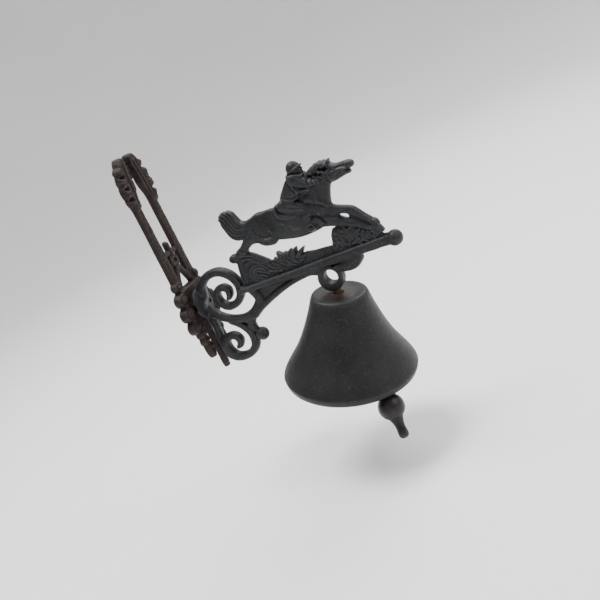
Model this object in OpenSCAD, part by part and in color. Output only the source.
// Wall-mounted dinner bell: an openwork wall plate, a scrolled bracket arm with a
// leaping horse and rider cast on it, and a bell and clapper on an eye bolt in the arm's ring.
// X runs out from the wall along the arm, Y across the wall, Z up. The origin is on the
// wall, midway between the two wall screws. Lengths in mm.

/* [Wall plate] */
// Height of the wall plate, tip to crest
plate_h = 207; // [200:1:215]
// Thickness of the wall plate
plate_t = 5; // [4:0.5:6]
// Distance between the centre lines of the two side bars
bar_gap = 26; // [24:1:30]
// Width of each side bar
bar_w = 9; // [7:0.5:10]
// Bore of the wall screw holes
wall_hole_d = 5; // [4:0.5:5.5]

/* [Bracket arm] */
// Thickness of the scrolls, from one side to the other
arm_t = 8; // [7:0.5:9]
// Radius of the hole in the ring that carries the bell
ring_hole_r = 6; // [6:0.1:6.3]
// Radius of the ball at the end of the rail
ball_r = 6.6; // [6:0.1:7]
// Diameter of the machine screws through the flange
screw_d = 4; // [3:0.5:4]

/* [Bell] */
// Height of the bell
bell_h = 75.5; // [74:0.5:78]
// Radius of the flat crown
crown_r = 23.2; // [22:0.1:24]
// Largest radius, just above the lip
belly_r = 57; // [55:0.5:58]
// Wall thickness of the bell
bell_wall = 3.5; // [3:0.1:3.8]
// Lean of the bell towards the wall, from plumb
bell_lean = 15.6; // [0:0.1:16.5]

/* [Clapper] */
// Distance from the clapper's pivot to the centre of its ball
clapper_l = 84.5; // [82:0.5:86]
// Radius of the clapper's ball
clapper_r = 11; // [10:0.5:11]
// Lean of the clapper from plumb
clapper_lean = 23.3; // [0:0.1:24.3]
// Direction of that lean, turned from the arm's own direction
clapper_turn = -62; // [-66:1:-58]

/* [Hidden] */
$fn = 48;

tip_drop = 151;             // from the origin down to the plate's tip
upper_hole_z = 192;         // wall screws, above the tip
lower_hole_z = 110;
bar_half = bar_gap / 2;
seat_t = 8;                  // the plate's raised seat for the flange
seat_end = 86;               // top of the seat, above the tip
flange_x = seat_t;           // the flange lies on the seat's front face
flange_t = 4;
flange_z = 66;
screw_y = 8.5;
screw_z = 63;
screw_sink = 2.6;            // depth of the screw heads' recess in the plate's back
boss_r = 7.4;                // dome on the flange, over the nearer screw
boss_t = 2.6;
boss_y = -5.4;
relief_t = 6;               // thickness of the ground relief
horse_t = 9;
limb_t = 5.5;
ring_t = 9;
ring_c = [136.2, 56.2];     // centre of the ring's hole
ring_o = [134.9, 54.4];     // centre of the ring's outer edge
ring_r = 10.9;
pivot = [134.8, 39];         // where the bell rocks: on the bolt, halfway through the crown
bolt_r = 3.1;
bolt_top = 49.4;            // the bolt ends here, in the ring's lower wall
run = 0.08;                 // running clearance
crown_t = 4;
crown_hole_r = 4;           // leaves the crown room to rock 16.5 each way on the bolt
seat_r = 6.5;               // radius of the washer's rounded underside, about the pivot
washer_r = 6.2;
washer_hole_r = 4.65;
nut_r = 5.4;
nut_end = 7.4;              // bottom of the nut, below the pivot
eye_r = 3.6;                // centre radius of the bolt's lower eye
eye_wire = 1.3;
eye_down = 12.5;            // from the pivot down to the eye's centre
loop_r = 3.4;
loop_wire = 1.2;
loop_sag = loop_r - loop_wire - eye_wire - run;
tail_end = 27;              // end of the clapper's tail, past the ball's centre
iron = "#2b2c30";
rust = "#4a342e";
steel = "#6b4a38";

// A point on a smooth curve through four points
function blend(a, b, c, d, t) =
    0.5 * (2 * b + (c - a) * t + (2 * a - 5 * b + 4 * c - d) * t * t
    + (3 * b - a - 3 * c + d) * t * t * t);

// A smooth curve through a list of points, n steps to each gap
function curve(p, n) = [
    for (i = [0 : len(p) - 2]) for (j = [0 : n - 1])
        blend(p[max(i - 1, 0)], p[i], p[i + 1], p[min(i + 2, len(p) - 1)], j / n),
    p[len(p) - 1]
];

function side_of(q, i) =
    let (d = [for (k = [0 : 1]) q[min(i + 1, len(q) - 1)][k] - q[max(i - 1, 0)][k]])
    [-d[1], d[0]] / norm(d);

// The rounded end of a band about point c, turning from direction d by half a circle
function cap(c, d, turn) = [
    for (a = [22.5 : 22.5 : 157.5])
        [c[0], c[1]] + c[2] * [d[0] * cos(a) - turn * d[1] * sin(a), d[1] * cos(a) + turn * d[0] * sin(a)]
];

// A band of varying half width, with round ends, along points of the form [x, y, half width]
module band(p, n = 5) {
    q = curve(p, n);
    m = len(q) - 1;
    polygon(concat(
        [for (i = [0 : m]) [q[i][0], q[i][1]] + side_of(q, i) * q[i][2]],
        cap(q[m], side_of(q, m), -1),
        [for (i = [m : -1 : 0]) [q[i][0], q[i][1]] - side_of(q, i) * q[i][2]],
        cap(q[0], -side_of(q, 0), -1)));
}

// A flat shape of the arm, drawn as X and Z, with thickness t about the middle plane
module on_arm(t) {
    translate([0, 0, -tip_drop]) rotate([90, 0, 0]) linear_extrude(t, center = true) children();
}

// A flat shape of the wall plate, drawn as Y and Z, standing off the wall from x to x + t
module on_wall(t, x = 0) {
    translate([x, 0, -tip_drop]) rotate([90, 0, 90]) linear_extrude(t) children();
}

module in_iron() {
    color(iron) children();
}

module in_rust() {
    color(rust) children();
}

// ---- wall plate -------------------------------------------------------------------

module bar_shape() {
    translate([bar_half - bar_w / 2, seat_end]) square([bar_w, 162 - seat_end]);
}

module crest_shape() {
    difference() {
        band([[13, 162, 4.5], [14, 171, 6.5], [13, 182, 8], [9, 193, 8], [6, plate_h - 6, 5.5]]);
        translate([-20, 0]) square([20, 300]);
        translate([0, upper_hole_z]) circle(6.5);
        bar_shape();
    }
}

// A stem above the lower eye, a cross strap to the side bars, and two legs down to the seat
module mid_strap_shape() {
    difference() {
        union() {
            band([[0, 110, 3], [0, 118, 2.4], [0, 125, 2.6]]);
            translate([-bar_half, lower_hole_z + 5]) square([bar_gap, 4.5]);
            for (s = [-1, 1]) band([[0, 105, 3], [5 * s, 97, 2.6], [10 * s, 85, 2.6]]);
        }
        for (s = [0, 1]) mirror([s, 0]) bar_shape();
        seat_outline();
    }
}

module seat_outline() {
    polygon([[-25, 56], [25, 56], [24, 66], [23, 77], [18.5, seat_end], [-18.5, seat_end],
        [-23, 77], [-24, 66]]);
}

module leaves_shape() {
    difference() {
        band([[14, 60, 10.5], [15, 49, 9], [12.8, 41, 5], [12.5, 33, 5.6], [11.7, 24, 5]]);
        seat_outline();
    }
}

module tip_shape() {
    band([[0, 53, 3], [0, 35, 3.4], [0, 18, 3.2], [0, 7, 3.6], [0, 3, 3]]);
}

module wall_bar_left() {
    in_rust() on_wall(plate_t) mirror([1, 0]) bar_shape();
}

module wall_bar_right() {
    in_rust() on_wall(plate_t) bar_shape();
}

module wall_crest_left() {
    in_rust() on_wall(seat_t) mirror([1, 0]) crest_shape();
}

module wall_crest_right() {
    in_rust() on_wall(seat_t) crest_shape();
}

module wall_top_eye() {
    in_rust() on_wall(plate_t - 2) difference() {
        translate([0, upper_hole_z]) circle(6.5);
        translate([0, upper_hole_z]) circle(d = wall_hole_d);
    }
}

module wall_mid_eye() {
    in_rust() difference() {
        union() {
            on_wall(plate_t - 0.5) mid_strap_shape();
            on_wall(plate_t - 0.5) translate([0, lower_hole_z]) circle(6.5);
        }
        on_wall(plate_t + 2, -1) translate([0, lower_hole_z]) circle(d = wall_hole_d);
    }
}

module wall_seat() {
    in_rust() difference() {
        on_wall(seat_t) seat_outline();
        flange_holes();
        for (s = [-1, 1]) translate([-1, s * screw_y, screw_z - tip_drop])
            rotate([0, 90, 0]) cylinder(r = 4.6, h = screw_sink + 1);
    }
}

module wall_leaves_left() {
    in_rust() on_wall(seat_t - 1) mirror([1, 0]) leaves_shape();
}

module wall_leaves_right() {
    in_rust() on_wall(seat_t - 1) leaves_shape();
}

module wall_tip() {
    in_rust() on_wall(plate_t) difference() {
        tip_shape();
        seat_outline();
    }
}

// ---- bracket arm ------------------------------------------------------------------

module flange_holes() {
    for (s = [-1, 1]) translate([-1, s * screw_y, screw_z - tip_drop])
        rotate([0, 90, 0]) cylinder(d = screw_d + 2 * run, h = 20);
}

module flange_shape() {
    union() {
        translate([-7, flange_z]) circle(7);
        translate([7, flange_z]) circle(7);
        translate([-7, flange_z - 7]) square([14, 14]);
        translate([0, flange_z]) circle(13);
    }
}

module flange_block() {
    translate([0, flange_z - 14]) square([flange_x + flange_t, 28]);
}

module spine_shape() {
    difference() {
        band([[10.5, 53, 3.4], [10.8, 40, 3], [9.5, 28, 3.2], [8.6, 23, 3.6]]);
        flange_block();
        lower_scroll_outline();
        crescent_outline();
    }
}

module upper_scroll_outline() {
    band([[12.5, 70, 3.8], [16.5, 80, 3.7], [26.5, 87, 3.6], [39, 87.5, 3.8], [48.5, 81, 3.9],
        [52, 72, 3.8], [49.6, 63, 3.5], [42.5, 56.5, 3.2], [33.5, 54.8, 3], [27, 59.3, 2.8],
        [25.6, 67, 2.6], [29.7, 73, 2.5], [36.5, 74.2, 2.4], [41, 71, 2.3], [40.6, 66.5, 2]]);
}

module crescent_outline() {
    band([[12, 56, 3.6], [18, 50.4, 3.4], [28, 44.2, 3.2], [41, 41.6, 3.4], [52, 43.4, 4],
        [61, 49, 4.4], [65.5, 55.5, 4.4], [62.5, 63, 3.8]]);
}

module lower_scroll_outline() {
    band([[29, 42, 3], [36.5, 36, 3.2], [41.8, 28.5, 3.8], [42.4, 20.5, 4], [39, 13, 3.8],
        [30.6, 7.8, 3.6], [19.5, 7.2, 3.8], [11.5, 12.6, 4.2], [9.5, 20.5, 4.1], [13, 27, 3.2],
        [20.4, 29.8, 2.6], [26.3, 28, 2.5], [28.4, 23.4, 2.4], [25.8, 18.8, 2.1]]);
}

module knob_spot() {
    translate([51.4, 23.5]) children();
}

module arch_outline() {
    polygon(concat(
        [for (p = curve([[58, 44.5], [62, 43.5], [75, 49.6], [87, 54.6], [98, 58],
            [110, 60.8], [122, 62]], 4)) [p[0], p[1]]],
        [[122, 66], [64, 66], [64, 56]]));
}

// The solid corner where the crescent, the lower scroll and the knob meet
module gusset_outline() {
    polygon([[40, 42], [42, 36], [45, 30], [50, 29], [49.5, 34], [53, 39.5]]);
}

module rail_outline() {
    polygon(concat(
        [[52, 64], [58, 61.5]],
        [for (p = curve([[58, 61.5], [80, 62.6], [110, 63.4], [140, 64.2], [170, 66], [188, 67]], 3))
            [p[0], p[1]]],
        [[194, 67], [194, 74.5], [188, 75.8]],
        [for (p = curve([[188, 75.8], [165, 74.5], [140, 72.6], [110, 70.6], [85, 69.2],
            [60, 69.5]], 3)) [p[0], p[1]]],
        [[50, 69.5]]));
}

module ball_spot() {
    translate([197.4, 70.4]) children();
}

module ring_outline() {
    translate(ring_o) circle(ring_r, $fn = 64);
    translate([ring_o[0] - 7, ring_o[1]]) square([15, 12]);
}

module lobe_outline() {
    polygon(concat(
        [[144, 66]],
        [for (p = curve([[144, 56.6], [150, 55.6], [157, 56], [163.5, 58.4], [168, 62.4],
            [169.5, 67]], 4)) [p[0], p[1]]]));
}

module arm_flange() {
    in_iron() difference() {
        on_wall(flange_t, flange_x) flange_shape();
        flange_holes();
    }
}

// The dome: a slice off a sphere, beside the scroll and the crescent
module flange_boss() {
    ball = (boss_r * boss_r + boss_t * boss_t) / (2 * boss_t);
    face = flange_x + flange_t;
    span = boss_r + 1;
    in_iron() intersection() {
        translate([face + boss_t - ball, boss_y, flange_z - tip_drop]) sphere(ball, $fn = 160);
        translate([face, boss_y - span, flange_z - tip_drop - span])
            cube([boss_t + 1, span - boss_y - arm_t / 2, 2 * span]);
    }
}

module arm_spine() {
    in_iron() on_arm(arm_t - 1) spine_shape();
}

module upper_scroll() {
    in_iron() on_arm(arm_t) difference() {
        upper_scroll_outline();
        flange_block();
        crescent_outline();
        rail_outline();
    }
}

module crescent_band() {
    in_iron() on_arm(arm_t) difference() {
        crescent_outline();
        flange_block();
        rail_outline();
    }
}

module lower_scroll() {
    in_iron() on_arm(arm_t) difference() {
        lower_scroll_outline();
        crescent_outline();
    }
}

module scroll_knob() {
    in_iron() difference() {
        translate([0, 0, -tip_drop]) rotate([90, 0, 0]) knob_spot() sphere(5.2);
        on_arm(arm_t) lower_scroll_outline();
        on_arm(arm_t) gusset_outline();
    }
}

module arch_rib() {
    in_iron() on_arm(arm_t - 2) difference() {
        arch_outline();
        crescent_outline();
        rail_outline();
    }
}

module scroll_gusset() {
    in_iron() on_arm(arm_t - 2) difference() {
        gusset_outline();
        crescent_outline();
        lower_scroll_outline();
    }
}

module arm_rail() {
    in_iron() on_arm(arm_t + 2) difference() {
        rail_outline();
        ball_spot() circle(ball_r - 0.4);
    }
}

module rail_ball() {
    in_iron() translate([0, 0, -tip_drop]) rotate([90, 0, 0]) ball_spot() intersection() {
        sphere(ball_r);
        cylinder(r = ball_r - 0.4, h = 20, center = true);
    }
}

module rail_lobe() {
    in_iron() on_arm(arm_t - 1) difference() {
        lobe_outline();
        rail_outline();
        ring_outline();
    }
}

module hanger_ring() {
    in_iron() difference() {
        on_arm(ring_t) difference() {
            ring_outline();
            translate(ring_c) circle(ring_hole_r, $fn = 64);
            rail_outline();
            arch_outline();
        }
        at_pivot() bolt_shank(0);
    }
}

// ---- ground, horse and rider --------------------------------------------------------

module stump_outline() {
    polygon(concat(
        [[57, 69], [57.5, 77]],
        [for (p = curve([[59.5, 84], [56.8, 88.5], [57, 94], [61, 96.2], [65, 93.8], [69, 95],
            [75, 96], [86, 91], [97, 86], [101, 82]], 3)) [p[0], p[1]]],
        [[101, 69]]));
}

module log_stump() {
    in_iron() on_arm(relief_t) difference() {
        stump_outline();
        rail_outline();
    }
}

module ground_strip() {
    in_iron() on_arm(relief_t - 1) difference() {
        polygon(concat(
            [[118, 69]],
            [for (p = curve([[118, 78], [124, 80.5], [134, 80.6], [146, 81]], 3)) [p[0], p[1]]],
            [[146, 69]]));
        rail_outline();
        bush_outline();
    }
}

module grass_tuft() {
    in_iron() on_arm(relief_t) difference() {
        union() {
            polygon([[101, 69], [101, 82], [118, 80.5], [118, 69]]);
            for (b = [[95.5, 87.5], [100.5, 90], [108.5, 88.5], [116, 88]])
                band([[b[0] + 4, 79, 3.2], [b[0] + 1.5, (79 + b[1]) / 2, 2.4], [b[0], b[1], 0.8]]);
        }
        rail_outline();
        translate([80, 60]) square([21, 60]);
        translate([118, 60]) square([21, 60]);
    }
}

module bush_outline() {
    polygon(concat(
        [[146, 70]],
        [for (p = curve([[146, 80], [145.5, 86], [149, 91], [156, 93], [166, 91.5], [176, 88],
            [186, 81.5], [191, 76]], 3)) [p[0], p[1]]],
        [[191, 70]]));
}

module oak_bush() {
    in_iron() on_arm(relief_t + 1) difference() {
        bush_outline();
        rail_outline();
    }
}

module horse_body_outline() {
    band([[88, 116, 7], [97, 111.5, 12.3], [110, 110.3, 13.6], [124, 107.6, 13.8],
        [138, 108.2, 14], [148, 109.4, 14]]);
    band([[143, 116, 12], [149.5, 121, 12], [155, 129, 10]]);
}

module neck_outline() {
    band([[150, 122, 11], [156, 131, 9.6], [166, 135.6, 7.4], [174, 134, 6], [181, 133.6, 5],
        [186.6, 132.8, 3.6]]);
}

module tail_outline() {
    band([[88, 117.5, 4.5], [80, 114.5, 5.6], [73, 117, 6.8], [69.9, 124.5, 7.2], [67.7, 129.5, 5.2]]);
}

module hind_leg_outline() {
    band([[94, 105.5, 10.5], [85, 106.5, 7], [77.3, 103.6, 4.4], [71.5, 99, 4], [67, 95, 4]]);
}

module upper_foreleg_outline() {
    band([[152, 106.5, 6], [162, 106, 3.3], [168, 104.4, 3], [173.8, 101.3, 3.6], [177.6, 98, 3.3],
        [181.4, 93.4, 2.9], [185, 89.6, 2.6], [188, 86, 3.4]]);
}

module lower_foreleg_outline() {
    band([[150, 99.5, 5.5], [161, 97.4, 4.6], [166.4, 94.9, 3.8], [172, 92.6, 3.9], [177, 89, 3.4],
        [182, 85, 2.8], [187, 81, 3.4]]);
}

module rider_outline() {
    band([[124, 121, 8], [129, 129, 8.5], [136, 137, 8], [140, 140, 6]]);
    band([[138, 139, 5], [146, 135.5, 5.2], [153, 132.3, 3.6]]);
}

module rider_leg_outline() {
    band([[126.5, 120.5, 5.5], [133, 118.4, 5.2], [139.5, 115.4, 4.6], [140.6, 110.5, 3.6],
        [137.4, 104, 3.1], [137, 99.6, 3]]);
}

module rider_head_outline() {
    translate([144.4, 147]) circle(6.2);
}

module horse_body() {
    in_iron() on_arm(horse_t) difference() {
        horse_body_outline();
        neck_outline();
    }
}

module horse_tail() {
    in_iron() on_arm(limb_t + 1) difference() {
        tail_outline();
        horse_body_outline();
        hind_leg_outline();
    }
}

module horse_hind_leg() {
    in_iron() on_arm(limb_t + 2) difference() {
        hind_leg_outline();
        horse_body_outline();
        stump_outline();
    }
}

module horse_upper_foreleg() {
    in_iron() on_arm(limb_t) difference() {
        upper_foreleg_outline();
        horse_body_outline();
        lower_foreleg_outline();
        bush_outline();
    }
}

module horse_lower_foreleg() {
    in_iron() on_arm(limb_t) difference() {
        lower_foreleg_outline();
        horse_body_outline();
        bush_outline();
    }
}

module horse_head() {
    in_iron() on_arm(horse_t - 1) neck_outline();
}

module saddle_outline() {
    polygon([[114.5, 120], [116, 124.6], [121, 122], [126, 116], [134, 113], [138, 108],
        [136, 101], [130, 100], [123.2, 102], [121.4, 107], [122, 111.6], [116.5, 114.5]]);
}

// The same relief on both sides of the horse, from its side face out by t
module both_sides(t) {
    for (s = [-1, 1]) translate([0, s * (horse_t + t) / 2, 0]) on_arm(t) children();
}

module saddle() {
    in_iron() both_sides(0.8) difference() {
        saddle_outline();
        rider_leg_outline();
        rider_shape();
    }
}

module rider_legs() {
    in_iron() both_sides(2) difference() {
        rider_leg_outline();
        rider_shape();
    }
}

// The rider above the horse, less the head
module rider_shape() {
    difference() {
        rider_outline();
        rider_head_outline();
        horse_body_outline();
        neck_outline();
    }
}

module rider_body() {
    in_iron() on_arm(horse_t + 2) rider_shape();
}

module rider_head() {
    in_iron() translate([144.4, 0, 147 - tip_drop]) sphere(6.2);
}

// ---- fasteners ------------------------------------------------------------------------

// Screws put in from the plate's back, with slotted heads sunk in it
module flange_screws() {
    head_t = screw_sink - 0.4;
    color(steel) for (s = [-1, 1]) translate([0, s * screw_y, screw_z - tip_drop]) rotate([0, 90, 0])
        difference() {
            union() {
                translate([0, 0, 0.4]) cylinder(r = 3.7, h = head_t);
                translate([0, 0, 1]) cylinder(d = screw_d, h = flange_x + flange_t - 3);
            }
            cube([1, 8, 2], center = true);
        }
}

// ---- bell and clapper -------------------------------------------------------------------

module at_pivot() {
    translate([pivot[0], 0, pivot[1] - tip_drop]) children();
}

// Tilted with the bell, about the pivot
module at_bell() {
    at_pivot() rotate([0, bell_lean, 0]) children();
}

module at_clapper() {
    at_pivot() translate([0, 0, -eye_down - eye_r])
        rotate([0, 0, clapper_turn]) rotate([0, -clapper_lean, 0]) children();
}

// The bolt's shank, from a height above or below the pivot up to its end in the ring
module bolt_shank(bottom) {
    translate([0, 0, bottom]) cylinder(r = bolt_r, h = bolt_top - pivot[1] - bottom);
}

module bell_bolt() {
    color(steel) at_pivot() {
        bolt_shank(-eye_down + eye_r);
        translate([0, 0, -eye_down]) rotate([0, 0, clapper_turn]) rotate([0, 90, 0])
            rotate_extrude($fn = 48) translate([eye_r, 0]) circle(eye_wire, $fn = 24);
    }
}

// A nut with a dished top, in which the washer's rounded underside rocks
module bolt_nut() {
    color(steel) at_pivot() difference() {
        translate([0, 0, -nut_end]) intersection() {
            cylinder(r = nut_r + 0.6, h = nut_end - 3, $fn = 6);
            cylinder(r = nut_r, h = nut_end);
        }
        sphere(seat_r + run);
        translate([0, 0, -nut_end - 1]) cylinder(r = bolt_r, h = nut_end);
    }
}

module seat_washer() {
    color(steel) at_bell() difference() {
        intersection() {
            sphere(seat_r);
            translate([0, 0, -crown_t / 2 - run - 4]) cylinder(r = washer_r, h = 4);
        }
        translate([0, 0, -8]) cylinder(r = washer_hole_r, h = 8);
    }
}

// Outer profile: radius and depth below the crown
function bell_outer() = curve([
    [crown_r + 1.4, 0.05 * bell_h], [28.2, 0.2 * bell_h], [34.4, 0.4 * bell_h],
    [42.1, 0.6 * bell_h], [belly_r - 4.6, 0.8 * bell_h], [belly_r, 0.915 * bell_h],
    [belly_r - 1.6, 0.975 * bell_h], [belly_r - 3.2, bell_h]], 4);

// Inner profile, one wall inside the outer one
function bell_inner() =
    let (o = bell_outer(), m = len(o) - 1)
    [for (i = [m : -1 : 2]) [o[i][0] - bell_wall * (1.06 - 0.1 * (i < m - 4 ? 0 : 1)), o[i][1]]];

module bell() {
    color(iron) at_bell() translate([0, 0, crown_t / 2]) rotate_extrude($fn = 96) polygon(concat(
        [[crown_hole_r, 0]],
        [for (a = [90 : -15 : 15]) [crown_r - 2 + 2.4 * cos(a), -2.4 + 2.4 * sin(a)]],
        [for (p = bell_outer()) [p[0], -p[1]]],
        [for (p = bell_inner()) [p[0], -p[1]]],
        [[crown_r - 3, -crown_t], [crown_hole_r, -crown_t]]));
}

module wire_loop() {
    translate([0, 0, -loop_sag]) rotate([90, 0, 0])
        rotate_extrude($fn = 48) translate([loop_r, 0]) circle(loop_wire, $fn = 24);
}

module clapper_loop() {
    color(steel) at_clapper() wire_loop();
}

module clapper() {
    neck = loop_sag + loop_r + 0.4;
    color("#332c30") at_clapper() difference() {
        rotate_extrude($fn = 48) polygon(concat(
            [[0, -neck], [1.6, -neck]],
            [for (p = curve([[2.2, 6], [2.6, 30], [3.2, clapper_l - 20]], 3)) [p[0], -p[1]]],
            [for (a = [65 : -15 : -50]) [clapper_r * cos(a), -clapper_l + clapper_r * sin(a)]],
            [for (p = curve([[4.6, clapper_l + clapper_r], [3.8, clapper_l + 15],
                [4.2, clapper_l + 21], [4.2, clapper_l + 24]], 3)) [p[0], -p[1]]],
            [for (a = [-15 : -15 : -75])
                [1.2 + 3 * cos(a), -clapper_l - tail_end + 3 + 3 * sin(a)]],
            [[0, -clapper_l - tail_end]]));
        wire_loop();
    }
}

wall_bar_left();
wall_bar_right();
wall_crest_left();
wall_crest_right();
wall_top_eye();
wall_mid_eye();
wall_seat();
wall_leaves_left();
wall_leaves_right();
wall_tip();
arm_flange();
flange_boss();
arm_spine();
upper_scroll();
crescent_band();
lower_scroll();
scroll_gusset();
scroll_knob();
arch_rib();
arm_rail();
rail_ball();
rail_lobe();
hanger_ring();
log_stump();
ground_strip();
grass_tuft();
oak_bush();
horse_body();
horse_tail();
horse_hind_leg();
horse_upper_foreleg();
horse_lower_foreleg();
horse_head();
saddle();
rider_legs();
rider_body();
rider_head();
flange_screws();
bell_bolt();
bolt_nut();
seat_washer();
bell();
clapper_loop();
clapper();
